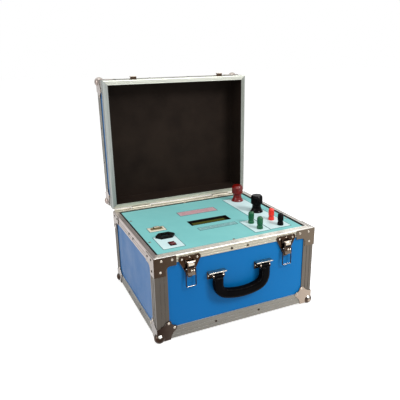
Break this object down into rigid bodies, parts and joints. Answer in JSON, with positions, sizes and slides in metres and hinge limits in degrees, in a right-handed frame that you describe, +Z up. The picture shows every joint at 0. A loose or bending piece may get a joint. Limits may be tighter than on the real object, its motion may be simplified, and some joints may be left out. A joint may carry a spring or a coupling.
{
  "type": "winding resistance meter in a flight case",
  "caption": "Bench meter with a display, mains inlet and screw terminals on a panel, built into a hinged flight case with draw latches, ball corners and a drop handle.",
  "frame": {"origin": "centre of the base board's underside", "axes": "+Z up, +X to the operator's right, -Y towards the operator in front of the handle"},
  "size_m": [0.4336, 0.4564, 0.5758],
  "materials": {
    "blue_laminate": "satin blue laminate on plywood",
    "raw_plywood": "plain plywood",
    "edge_aluminium": "ribbed extrusion, dull",
    "plated_steel": "nickel plated pressed steel",
    "grip_plastic": "glossy black moulding",
    "panel_sheet": "aqua film on aluminium sheet",
    "gasket_rubber": "black strip",
    "black_plastic": "black moulding",
    "display_window": "dark window over an olive display",
    "circuit_board": "glass fibre laminate with parts",
    "pin_metal": "nickel plated",
    "rocker_red": "translucent red moulding",
    "port_shell": "tin plated",
    "port_plastic": "cream moulding",
    "terminal_dark_red": "glossy dark red moulding",
    "terminal_black": "glossy black moulding",
    "terminal_green": "glossy green moulding",
    "terminal_red": "glossy orange red moulding",
    "transformer_windings": "varnished windings round an iron core",
    "supply_case": "vented case, at the average density of what it holds",
    "lid_lining": "fine grained dark lining"
  },
  "bodies": {
    "case": {"base_board": "raw_plywood", "front_board": "blue_laminate", "back_board": "blue_laminate", "left_board": "blue_laminate", "right_board": "blue_laminate", "corner_posts": "edge_aluminium", "bottom_rails": "edge_aluminium", "base_rim": "edge_aluminium", "base_corners": "plated_steel", "rim_braces": "plated_steel", "panel_ledge": "raw_plywood", "panel_gasket": "gasket_rubber", "instrument_panel": "panel_sheet", "lcd_bezel": "black_plastic", "lcd_window": "display_window", "lcd_module": "circuit_board", "mains_inlet": "black_plastic", "inlet_pins": "pin_metal", "switch_bezel": "black_plastic", "serial_port": "port_shell", "port_insert": "port_plastic", "big_red_base": "terminal_dark_red", "big_black_base": "terminal_black", "green_bases": "terminal_green", "red_base": "terminal_red", "black_base": "terminal_black", "terminal_studs": "pin_metal", "terminal_nuts": "pin_metal", "control_board": "circuit_board", "board_standoffs": "pin_metal", "transformer": "transformer_windings", "power_supply": "supply_case", "heatsink": "edge_aluminium", "hinge_base_leaves": "plated_steel", "hinge_pins": "plated_steel", "latch_plates": "plated_steel", "latch_pins": "plated_steel", "handle_brackets": "plated_steel", "handle_pins": "plated_steel"},
    "lid": {"lid_board": "blue_laminate", "lid_side_boards": "blue_laminate", "lid_rails": "edge_aluminium", "lid_posts": "edge_aluminium", "lid_rim": "edge_aluminium", "lid_corners": "plated_steel", "lid_lining": "lid_lining", "lid_catches": "plated_steel", "hinge_lid_leaves": "plated_steel"},
    "rocker": {"switch_rocker": "rocker_red"},
    "big_red_cap": {"big_red_cap": "terminal_dark_red"},
    "big_black_cap": {"big_black_cap": "terminal_black"},
    "green_cap_rear": {"green_cap_rear": "terminal_green"},
    "green_cap_front": {"green_cap_front": "terminal_green"},
    "red_cap": {"red_cap": "terminal_red"},
    "black_cap": {"black_cap": "terminal_black"},
    "left_lever": {"left_lever": "plated_steel"},
    "right_lever": {"right_lever": "plated_steel"},
    "left_bail": {"left_bail": "plated_steel"},
    "right_bail": {"right_bail": "plated_steel"},
    "handle": {"handle_grip": "grip_plastic"}
  },
  "joints": [
    {"name": "lid_hinge", "type": "hinge", "parent": "case", "child": "lid", "pos_m": [0, 0.1788, 0.2042], "axis": [1, 0, 0], "range_deg": [0, 90]},
    {"name": "rocker_pivot", "type": "hinge", "parent": "case", "child": "rocker", "pos_m": [-0.14196, -0.1092, 0.2023], "axis": [1, 0, 0], "range_deg": [0, 22]},
    {"name": "handle_pivot", "type": "hinge", "parent": "case", "child": "handle", "pos_m": [0, -0.1851, 0.136], "axis": [-1, 0, 0], "range_deg": [0, 90]},
    {"name": "left_lever_pivot", "type": "hinge", "parent": "case", "child": "left_lever", "pos_m": [-0.127, -0.1816, 0.183], "axis": [-1, 0, 0], "range_deg": [0, 110]},
    {"name": "right_lever_pivot", "type": "hinge", "parent": "case", "child": "right_lever", "pos_m": [0.127, -0.1816, 0.183], "axis": [-1, 0, 0], "range_deg": [0, 110]},
    {"name": "left_bail_pivot", "type": "hinge", "parent": "left_lever", "child": "left_bail", "pos_m": [-0.127, -0.1816, 0.1675], "axis": [1, 0, 0], "range_deg": [-183, 0]},
    {"name": "right_bail_pivot", "type": "hinge", "parent": "right_lever", "child": "right_bail", "pos_m": [0.127, -0.1816, 0.1675], "axis": [1, 0, 0], "range_deg": [-183, 0]},
    {"name": "big_red_cap_screw", "type": "hinge", "parent": "case", "child": "big_red_cap", "pos_m": [0.14784, 0.10815, 0.2218], "axis": [0, 0, 1], "range_deg": [0, 720]},
    {"name": "big_black_cap_screw", "type": "hinge", "parent": "case", "child": "big_black_cap", "pos_m": [0.14784, -0.0021, 0.2218], "axis": [0, 0, 1], "range_deg": [0, 720]},
    {"name": "green_cap_rear_screw", "type": "hinge", "parent": "case", "child": "green_cap_rear", "pos_m": [0.08862, -0.07385, 0.2218], "axis": [0, 0, 1], "range_deg": [0, 720]},
    {"name": "green_cap_front_screw", "type": "hinge", "parent": "case", "child": "green_cap_front", "pos_m": [0.08862, -0.1169, 0.2218], "axis": [0, 0, 1], "range_deg": [0, 720]},
    {"name": "red_cap_screw", "type": "hinge", "parent": "case", "child": "red_cap", "pos_m": [0.14826, -0.0756, 0.2218], "axis": [0, 0, 1], "range_deg": [0, 720]},
    {"name": "black_cap_screw", "type": "hinge", "parent": "case", "child": "black_cap", "pos_m": [0.14826, -0.1183, 0.2218], "axis": [0, 0, 1], "range_deg": [0, 720]}
  ]
}
